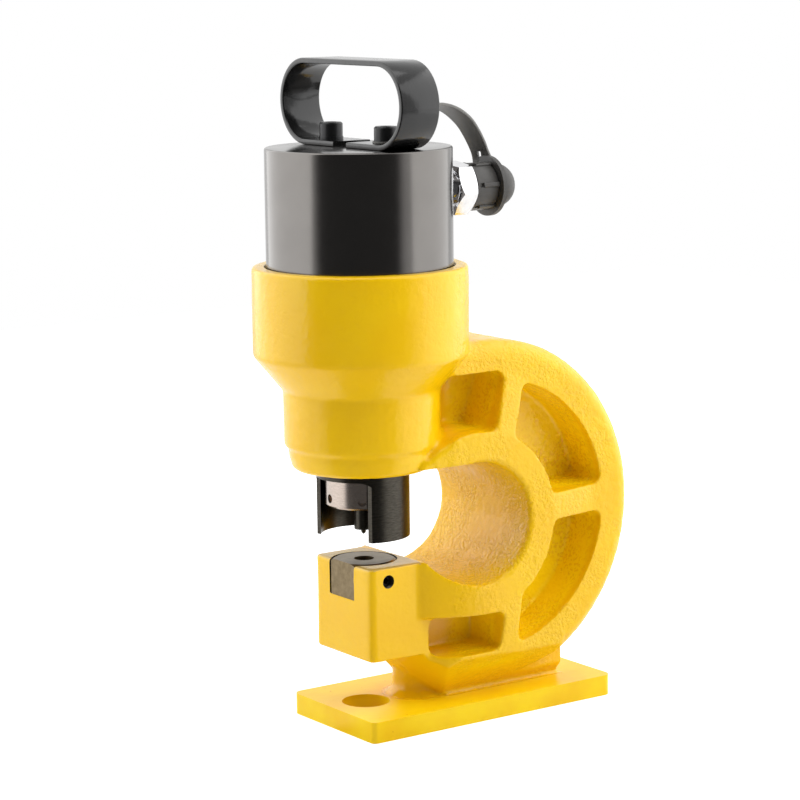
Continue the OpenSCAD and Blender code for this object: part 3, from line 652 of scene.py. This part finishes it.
def soften_where(obj, chosen, iterations):
    """Rounds the casting off where the test holds."""
    group = obj.vertex_groups.new(name=chosen.__name__)
    for vertex in obj.data.vertices:
        if chosen(*vertex.co):
            group.add([vertex.index], 1.0, "REPLACE")
    flow = obj.modifiers.new("flow", "SMOOTH")
    flow.factor = 0.5
    flow.iterations = iterations
    flow.vertex_group = group.name
    applied(obj)


def vertex_values(mesh, name):
    values = np.empty(len(mesh.vertices) * 3, np.float32)
    mesh.vertices.foreach_get(name, values)
    return values.reshape(-1, 3).astype(float)


def casting():
    """The CAD's casting, softened and roughened as cast, with its bores cut again."""
    made = bmesh.new()
    made.from_mesh(frame["nodes"]["c_frame"].data)
    for plug in bore_plugs():
        mesh = bpy.data.meshes.new("plug")
        plug.to_mesh(mesh)
        plug.free()
        made.from_mesh(mesh)
        bpy.data.meshes.remove(mesh)
    obj = as_object("frame_casting", made, "cast", "dark_steel")
    remesh = obj.modifiers.new("voxels", "REMESH")
    remesh.mode = "VOXEL"
    remesh.voxel_size = VOXEL
    soften = obj.modifiers.new("soften", "SMOOTH")
    soften.factor = 0.5
    soften.iterations = CAST_SMOOTHING
    applied(obj)
    soften_where(obj, at_joint, JOINT_SMOOTHING)
    soften_where(obj, at_block_edge, BLOCK_SMOOTHING)
    mesh = obj.data
    points = vertex_values(mesh, "co")
    normals = vertex_values(mesh, "normal")
    rough = rough_share(points)
    bare = bare_share(points)
    lumps = np.array([
        noise.noise(Vector(p) * LUMPS_SCALE) + 0.6 * noise.noise(Vector(p) * PEBBLES_SCALE)
        for p in points
    ])
    swell = np.array([noise.noise(Vector(p) * SWELL_SCALE) for p in points])
    shift = (lumps * (FINE_DEPTH + ROUGH_DEPTH * rough) + swell * SWELL_DEPTH) * (1 - bare)
    moved = points + normals * shift[:, None]
    mesh.vertices.foreach_set("co", moved.astype(np.float32).ravel())
    # The pockets' share carries the painted light in them
    pocket = pocket_share(points)
    for name, share in (("rough_cast", rough), ("bare_metal", bare), ("pocket_painted_light", pocket)):
        values = mesh.attributes.new(name, "FLOAT", "POINT").data
        values.foreach_set("value", share.astype(np.float32))
    mesh.update()
    dress(obj, "cast", "dark_steel")
    cut(obj, list(bore_cuts()))
    smooth(obj, 38)
    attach(obj, "frame")
    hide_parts("c_frame")


# Pieces that keep the CAD's shape, with their edges rounded where the camera sees them

EDGES_SEEN = ("stripper_sleeve", "punch_nut", "die", "handle_screws", "tether_ring")
FINISHES = {
    "guide_bush": "bronze",
    "rod_wiper": "rubber",
    "stripper_sleeve": "dark_steel",
    "die": "die_steel",
    "die_set_screw": "screw",
    "ram": "rod_steel",
    "piston_seal": "rubber",
    "piston_wear_ring": "wear",
    "punch_nut": "nut_steel",
    "punch": "dark_steel",
    "handle_screws": "screw",
    "spring_washer": "screw",
    "port_washer": "nut_steel",
    "coupler_valve": "chrome",
    "valve_guide": "nut_steel",
    "valve_seal": "rubber",
    "tether_ring": "cap",
}


def dress_nodes():
    for name, finish in FINISHES.items():
        obj = frame["nodes"][name]
        dress(obj, finish)
        smooth(obj, 30)


# Pieces with finer shapes than the CAD


def rounded_edges(obj, width, segments=3):
    bevel = obj.modifiers.new("rounded_edges", "BEVEL")
    bevel.width = width
    bevel.segments = segments
    bevel.limit_method = "ANGLE"
    bevel.angle_limit = math.radians(35)
    bevel.harden_normals = True


def settle(obj, node, body):
    """Puts a piece on its body, in place of the CAD's node."""
    smooth(obj)
    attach(obj, body)
    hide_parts(node)


def plate():
    """Foot plate with the slug chute, its corners rounded as seen and its edges worn soft."""
    lo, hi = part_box("base_plate")
    corner = 5.5 * MM
    front_corner = 3.2 * MM
    chute_r = 13.65 * MM
    over = 5 * MM
    corners = (corner, corner, front_corner, corner)
    outline = rounded_rectangle(lo.x, hi.x, lo.y, hi.y, corners, 10)
    obj = as_object("foot_plate", outline_prism(outline, lo.z, hi.z), "plate")
    chute = outline_prism(circle_points(chute_r), -over, hi.z + over)
    cut(obj, [as_object("cut_chute", chute, "plate")])
    rounded_edges(obj, 2.4 * MM, 5)
    settle(obj, "base_plate", "frame")


def cylinder_shell():
    """Cylinder with a rounded top edge, the coupler's spot face and port, and tapped holes."""
    lo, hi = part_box("cylinder")
    r = half_size("cylinder").y
    ceiling = PORT_Z + 8 * MM
    edge = 1.2 * MM
    spot_r = 12 * MM
    port_r = 8.4 * MM
    tapped_r = 4.1 * MM
    tapped_depth = 14 * MM
    crown = [
        (r - edge * (1 - math.cos(a)), hi.z - edge * (1 - math.sin(a)))
        for a in [math.pi / 2 * k / 5 for k in range(6)]
    ]
    made = turned([
        (0, ceiling), (CHAMBER_R, ceiling), (CHAMBER_R, lo.z), (r, lo.z), *crown, (0, hi.z)], 224)
    obj = as_object("cylinder_shell", made, "cylinder")
    spot = outline_prism(circle_points(spot_r, 96), SPOT_X, SPOT_X + 10 * MM)
    port = outline_prism(circle_points(port_r, 64), SPOT_X - 10 * MM, SPOT_X + MM)
    tools = [
        as_object("cut_port", placed(tool, (0, 0, PORT_Z), math.pi / 2, "Y"), "screw")
        for tool in (spot, port)
    ]
    for side in (-1, 1):
        hole = outline_prism(circle_points(tapped_r, 32), hi.z - tapped_depth, hi.z + MM)
        tools.append(as_object("cut_tapped", placed(hole, (0, side * SCREW_Y, 0)), "screw"))
    cut(obj, tools)
    settle(obj, "cylinder", "frame")


def coupler_shell():
    """The coupler with a neck behind its hexagon, which is turned off at both ends."""
    made = bmesh.new()
    made.from_mesh(frame["nodes"]["coupler_body"].data)
    bmesh.ops.remove_doubles(made, verts=made.verts, dist=SAME_POINT)
    obj = as_object("coupler_shell", made, "chrome")
    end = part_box("dust_cap")[0].x - 0.3 * MM
    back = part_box("coupler_body")[0].x - MM
    flange_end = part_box("port_washer")[1].x + 2.2 * MM
    neck_end = flange_end + 5.5 * MM
    neck_r = 9.6 * MM
    flange_r = 12 * MM
    face_r = 13.9 * MM
    clear_r = 20 * MM
    slope = (clear_r - face_r) / 1.7
    nose = end + 20 * MM
    kept = turned([
        (0, back), (flange_r, back), (flange_r, flange_end), (neck_r, flange_end),
        (neck_r, neck_end), (face_r, neck_end), (clear_r, neck_end + slope),
        (clear_r, end - slope), (face_r, end), (face_r, nose), (0, nose)], 96)
    tool = as_object("turned_off", placed(kept, (0, 0, PORT_Z), math.pi / 2, "Y"), "chrome")
    keep = obj.modifiers.new("keep", "BOOLEAN")
    keep.operation = "INTERSECT"
    keep.solver = "MANIFOLD"
    keep.object = tool
    applied(obj)
    bpy.data.objects.remove(tool)
    rounded_edges(obj, 0.25 * MM, 2)
    settle(obj, "coupler_body", "frame")


def handle_loop():
    """Flat bar bent round into a handle, its two ends screwed down a little apart."""
    lo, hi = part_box("handle_strap")
    thick = 3 * MM
    end_y = 6.4 * MM
    screw_hole_r = 4.3 * MM
    r = (hi.z - lo.z) / 2
    mid = r - thick / 2
    bend = hi.y - r
    tab_z = lo.z + thick / 2
    half_turn = [math.pi * k / 40 for k in range(41)]
    right = [(bend + mid * math.sin(a), lo.z + r - mid * math.cos(a), a) for a in half_turn]
    left = [
        (-bend - mid * math.sin(a), lo.z + r + mid * math.cos(a), math.pi + a) for a in half_turn
    ]
    path = [(end_y, tab_z, 0), *right, *left, (-end_y, tab_z, 2 * math.pi)]
    section = rounded_rectangle(lo.x, hi.x, -thick / 2, thick / 2, 0.7 * MM, 3)
    made = bmesh.new()
    rings = []
    for y, z, a in path:
        out_y, out_z = math.sin(a), -math.cos(a)
        rings.append([made.verts.new((u, y + v * out_y, z + v * out_z)) for u, v in section])
    bridge(made, rings)
    obj = as_object("handle_loop", made, "strap")
    tools = []
    for side in (-1, 1):
        hole = outline_prism(circle_points(screw_hole_r, 48), lo.z - MM, lo.z + thick + MM)
        tools.append(as_object("cut_tab", placed(hole, (0, side * SCREW_Y, 0)), "strap"))
    cut(obj, tools)
    settle(obj, "handle_strap", "frame")


def dust_cap():
    """Moulded cap: a lip, six broad ribs with a dimple at the end of each, and a round dome."""
    lo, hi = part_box("dust_cap")
    neck = RING_LO.x - lo.x
    seat = RING_HI.x - lo.x
    end = hi.x - lo.x
    bore_r = 12.1 * MM
    bore_end = 14.4 * MM
    lip_r = 14.0 * MM
    skirt_r = 13.6 * MM
    neck_r = 12.4 * MM
    dome_r = 11 * MM
    dome_flat = 1.5 * MM
    rib_turn = 22.3
    rib_start = 4.2 * MM
    dimple_at = 2.7 * MM
    dimple_r = 1.3 * MM
    dome = [
        (dome_flat + dome_r * math.cos(a), end - dome_r + dome_r * math.sin(a))
        for a in [math.pi / 2 * k / 18 for k in range(19)]
    ]
    made = turned([
        (0, bore_end), (bore_r, bore_end), (bore_r, 0.4 * MM), (12.5 * MM, 0),
        (skirt_r, 0), (lip_r, 0.3 * MM), (lip_r, 0.8 * MM), (skirt_r, 1.2 * MM),
        (skirt_r, neck - 1.4 * MM), (skirt_r - 0.5 * MM, neck - 0.5 * MM), (neck_r, neck),
        (neck_r, seat), (13.1 * MM, seat + 0.2 * MM), (13.3 * MM, seat + 0.9 * MM),
        (12.9 * MM, seat + 1.5 * MM), *dome, (0, end)], 144)
    section = rounded_rectangle(12.8 * MM, 14.5 * MM, -1.4 * MM, 1.4 * MM, 0.6 * MM)
    ribs = []
    dimples = []
    for k in range(6):
        turn = math.radians(rib_turn + 60 * k)
        rib = outline_prism(section, rib_start, neck - 0.6 * MM)
        ribs.append(placed(rib, (0, 0, 0), turn, "Z"))
        dimple = outline_prism(circle_points(dimple_r, 32), 12.9 * MM, 16 * MM)
        placed(dimple, (0, 0, dimple_at), math.pi / 2, "Y")
        dimples.append(as_object("cut_dot", placed(dimple, (0, 0, 0), turn, "Z"), "cap"))
    obj = as_object("cap_shell", joined([made, *ribs]), "cap")
    cut(obj, dimples)
    on_axis = Matrix.Translation((lo.x, 0, PORT_Z)) @ Matrix.Rotation(math.pi / 2, 4, "Y")
    obj.data.transform(on_axis)
    settle(obj, "dust_cap", "cap")


# Route of the tether in mm, as in the CAD: distance from the eyelet's centre, height over its tab
TETHER_ROUTE = [
    (4, 0.9), (15, 2), (26, 8), (36, 15.3), (44.5, 18.4), (53, 17.6), (62, 15.2), (70, 11.8),
    (78, 7), (84, 1.6), (89, -4), (92.6, -9), (94.2, -13), (94.6, -16.4)
]


def spline(points, steps):
    """Smooth curve through the points."""
    points = [np.array(p, float) for p in points]
    padded = [points[0], *points, points[-1]]
    curve = []
    for a, b, c, d in zip(padded, padded[1:], padded[2:], padded[3:]):
        for k in range(steps):
            u = k / steps
            curve.append(0.5 * (2 * b + (c - a) * u + (2 * a - 5 * b + 4 * c - d) * u * u
                                + (3 * b - a - 3 * c + d) * u ** 3))
    return [*curve, points[-1]]


def tether():
    """Strap from an eyelet under the screw to the cap's ring, which it meets at a slant."""
    # In mm, as the route is
    half = 5.2
    half_thick = 0.9
    flare_width = 4.0
    slant = math.tan(math.radians(20))
    tab_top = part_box("spring_washer")[0].z
    eye = Vector((0, -SCREW_Y, tab_top))
    ring_x = (RING_LO.x + RING_HI.x) / 2
    along = Vector((ring_x, SCREW_Y + 6 * MM, 0)).normalized()
    across = Vector((-along.y, along.x, 0))
    curve = spline(TETHER_ROUTE, 6)
    made = bmesh.new()
    rings = []
    for i, (d, h) in enumerate(curve):
        before, after = curve[max(i - 1, 0)], curve[min(i + 1, len(curve) - 1)]
        step = (after - before) / np.linalg.norm(after - before)
        flare = flare_width * float(smoothstep(-h, 9, 16)) ** 2
        drop = slant * float(smoothstep(d, 30, 92))
        ring = []
        for u, v in rounded_rectangle(-half - flare, half, -half_thick, half_thick, 0.5, 2):
            flat = along * ((d - v * step[1]) * MM) + across * (u * MM)
            past_edge = max(0.0, -half - u)
            rise = h + v * step[0] - max(u, -half) * drop - 1.1 * past_edge
            ring.append(made.verts.new(eye + flat + Vector((0, 0, rise * MM))))
        rings.append(ring)
    bridge(made, rings)
    eyelet_r = 7.4 * MM
    eyelet_top = 1.3 * MM
    edge = 0.3 * MM
    eyelet = turned([
        (0, 0), (7.0 * MM, 0), (eyelet_r, edge), (eyelet_r, 1.0 * MM), (7.0 * MM, eyelet_top),
        (0, eyelet_top)], 64)
    placed(eyelet, eye)
    obj = as_object("cap_tether", joined([made, eyelet]), "tether")
    hole = placed(outline_prism(circle_points(4.3 * MM, 32), -MM, 3 * MM), eye)
    head = placed(outline_prism(circle_points(6.8 * MM, 48), eyelet_top, 8 * MM), eye)
    slit_outline = rounded_rectangle(-1.9 * MM, 1.9 * MM, -1.1 * MM, 1.1 * MM, 0.5 * MM)
    slit = outline_prism(slit_outline, -3 * MM, 3 * MM)
    placed(slit, (0, 0, 0), math.pi / 2, "Y")
    placed(slit, (0, 0, 0), math.atan2(along.y, along.x), "Z")
    placed(slit, (ring_x - 0.6 * MM, 5.9 * MM, PORT_Z + 17.4 * MM))
    cut(obj, [as_object("cut_tether", tool, "tether") for tool in (hole, head, slit)])
    smooth(obj)
    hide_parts("tether_strap")
    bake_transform(obj)


def coil(radius, wire, length, turns, steps=36, sides=12):
    """Round wire wound along +Z."""
    made = bmesh.new()
    pitch = (length - wire) / turns
    rings = []
    for i in range(turns * steps + 1):
        a = 2 * math.pi * i / steps
        z = wire / 2 + pitch * i / steps
        ring = []
        for k in range(sides):
            b = 2 * math.pi * k / sides
            out = radius + wire / 2 * math.cos(b)
            up = wire / 2 * math.sin(b)
            ring.append(made.verts.new((out * math.cos(a), out * math.sin(a), z + up)))
        rings.append(ring)
    bridge(made, rings)
    return made


def springs():
    """Round-wire springs for the ram and the valve, in place of the CAD's."""
    lo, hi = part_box("return_spring")
    wire = 5 * MM
    made = coil(half_size("return_spring").x - wire / 2, wire, hi.z - lo.z, 6)
    placed(made, (0, 0, lo.z))
    obj = as_object("return_coil", made, "spring")
    settle(obj, "return_spring", "frame")
    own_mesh(obj)
    lo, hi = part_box("valve_spring")
    wire = 1 * MM
    made = coil(half_size("valve_spring").y - wire / 2, wire, hi.x - lo.x, 6)
    placed(made, (lo.x, 0, PORT_Z), math.pi / 2, "Y")
    obj = as_object("valve_coil", made, "spring")
    settle(obj, "valve_spring", "frame")
    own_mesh(obj)


# Stage


def area_light(name, place, target, size, energy):
    data = bpy.data.lights.new(name, "AREA")
    data.shape = "RECTANGLE"
    data.size, data.size_y = size
    data.energy = energy
    obj = bpy.data.objects.new(name, data)
    obj.location = place
    obj.rotation_mode = "QUATERNION"
    obj.rotation_quaternion = (Vector(target) - Vector(place)).to_track_quat("-Z", "Y")
    bpy.context.scene.collection.objects.link(obj)
    return obj


def camera():
    back = Vector((
        -math.sin(AZIMUTH) * math.cos(PITCH), -math.cos(AZIMUTH) * math.cos(PITCH),
        math.sin(PITCH)))
    level = Vector((math.cos(AZIMUTH), -math.sin(AZIMUTH), 0))
    rise = back.cross(level)
    right = math.cos(ROLL) * level + math.sin(ROLL) * rise
    up = math.cos(ROLL) * rise - math.sin(ROLL) * level
    target = TARGET_RIGHT * level + Vector((0, 0, TARGET_Z))
    data = bpy.data.cameras.new("camera")
    data.lens = LENS
    data.sensor_width = SENSOR
    obj = bpy.data.objects.new("camera", data)
    turn = Matrix((right, up, back)).transposed().to_4x4()
    obj.matrix_world = Matrix.Translation(target + DISTANCE * back) @ turn
    bpy.context.scene.collection.objects.link(obj)
    bpy.context.scene.camera = obj
    return level, back


def value_by_ray(tree, plain, mirrored, seen):
    """One value for light, another for mirrors, and a third for the camera and clear rays."""
    path = tree.nodes.new("ShaderNodeLightPath")
    result = plain
    rays = (("Is Glossy Ray", mirrored), ("Is Transmission Ray", seen), ("Is Camera Ray", seen))
    for ray, value in rays:
        mix = tree.nodes.new("ShaderNodeMix")
        for socket, source in (("Factor", path.outputs[ray]), ("A", result), ("B", value)):
            if isinstance(source, float):
                mix.inputs[socket].default_value = source
            else:
                tree.links.new(source, mix.inputs[socket])
        result = mix.outputs["Result"]
    return result


def front_and_back(tree, direction, front, edges, behind, ahead):
    """Goes from one value behind the object to another in front of it."""
    facing = tree.nodes.new("ShaderNodeVectorMath")
    facing.operation = "DOT_PRODUCT"
    facing.inputs[1].default_value = front
    tree.links.new(direction, facing.inputs[0])
    made = tree.nodes.new("ShaderNodeMapRange")
    for socket, value in zip(("From Min", "From Max", "To Min", "To Max"), (*edges, behind, ahead)):
        made.inputs[socket].default_value = value
    tree.links.new(facing.outputs["Value"], made.inputs["Value"])
    return made.outputs["Result"]


def world(front):
    """White to the camera and to mirrors, which find the side in front of the object dark."""
    made = bpy.data.worlds.new("studio")
    bpy.context.scene.world = made
    made.use_nodes = True
    made.cycles.sampling_method = "NONE"
    tree = made.node_tree
    tree.nodes.clear()
    direction = tree.nodes.new("ShaderNodeTexCoord").outputs["Generated"]
    light = front_and_back(tree, direction, front, LIT_EDGES, LIT_BEHIND, LIT_IN_FRONT)
    mirrored = front_and_back(tree, direction, front, MIRROR_EDGES, SEEN_BEHIND, SEEN_IN_FRONT)
    shade = tree.nodes.new("ShaderNodeBackground")
    shade.inputs["Color"].default_value = (1, 1, 1, 1)
    tree.links.new(value_by_ray(tree, light, mirrored, 1.0), shade.inputs["Strength"])
    out = tree.nodes.new("ShaderNodeOutputWorld")
    tree.links.new(shade.outputs[0], out.inputs["Surface"])


def floor(front):
    """Pale floor that the camera sees as white, but for the object's shadow."""
    half = FLOOR_HALF
    corners = [(-half, -half, 0), (half, -half, 0), (half, half, 0), (-half, half, 0)]
    mesh = bpy.data.meshes.new("floor")
    mesh.from_pydata(corners, [], [(0, 1, 2, 3)])
    obj = new_object("floor", mesh)
    material = bpy.data.materials.new("pale_floor")
    material.use_nodes = True
    tree = material.node_tree
    shader = tree.nodes["Principled BSDF"]
    shader.inputs["Roughness"].default_value = 0.9
    shader.inputs["Specular IOR Level"].default_value = 0.0
    shader.inputs["Emission Color"].default_value = (1, 1, 1, 1)
    away = tree.nodes.new("ShaderNodeVectorMath")
    away.operation = "NORMALIZE"
    tree.links.new(tree.nodes.new("ShaderNodeTexCoord").outputs["Object"], away.inputs[0])
    colour = ("Base Color", FLOOR_COLOUR, FLOOR_COLOUR, FLOOR_COLOUR)
    glow = ("Emission Strength", 0.0, FLOOR_IN_MIRRORS, FLOOR_GLOW)
    for socket, plain, behind, seen in (colour, glow):
        ahead = behind * SEEN_IN_FRONT
        mirrored = front_and_back(tree, away.outputs["Vector"], front, MIRROR_EDGES, behind, ahead)
        tree.links.new(value_by_ray(tree, plain, mirrored, seen), shader.inputs[socket])
    mesh.materials.append(material)
    obj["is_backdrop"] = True


def stage():
    """Soft boxes at the sides and above, in a white room that is dark behind the camera."""
    right, back = camera()
    middle = Vector(LIGHTS_AIM)
    front = Vector((back.x, back.y, 0)).normalized()
    boxes = (("left_box", -1, (2.0, 2.4), LEFT_POWER), ("right_box", 1, (1.5, 1.8), RIGHT_POWER))
    for name, side, size, power in boxes:
        place = middle + side * LIGHT_DISTANCE * right - 0.2 * front + Vector((0, 0, 0.25))
        area_light(name, place, middle, size, power)
    place = middle + LIGHT_DISTANCE * right + 0.5 * front + Vector((0, 0, 0.75))
    front_box = area_light("front_box", place, middle, (0.8, 0.8), FRONT_POWER)
    front_box.visible_glossy = False
    place = middle + 0.2 * front + Vector((0, 0, 1.3))
    area_light("top_box", place, middle, (1.2, 1.2), TOP_POWER)
    world(front)
    floor(front)
    bpy.context.scene.view_settings.view_transform = "Standard"


dress_nodes()
casting()
plate()
cylinder_shell()
handle_loop()
coupler_shell()
dust_cap()
tether()
springs()
for name in EDGES_SEEN:
    rounded_edges(frame["nodes"][name], 0.35 * MM)
stage()

lo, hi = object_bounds()
for corner in (*CAD_BOX, lo, hi):
    str([round(v, 5) for v in corner]) + "\n"
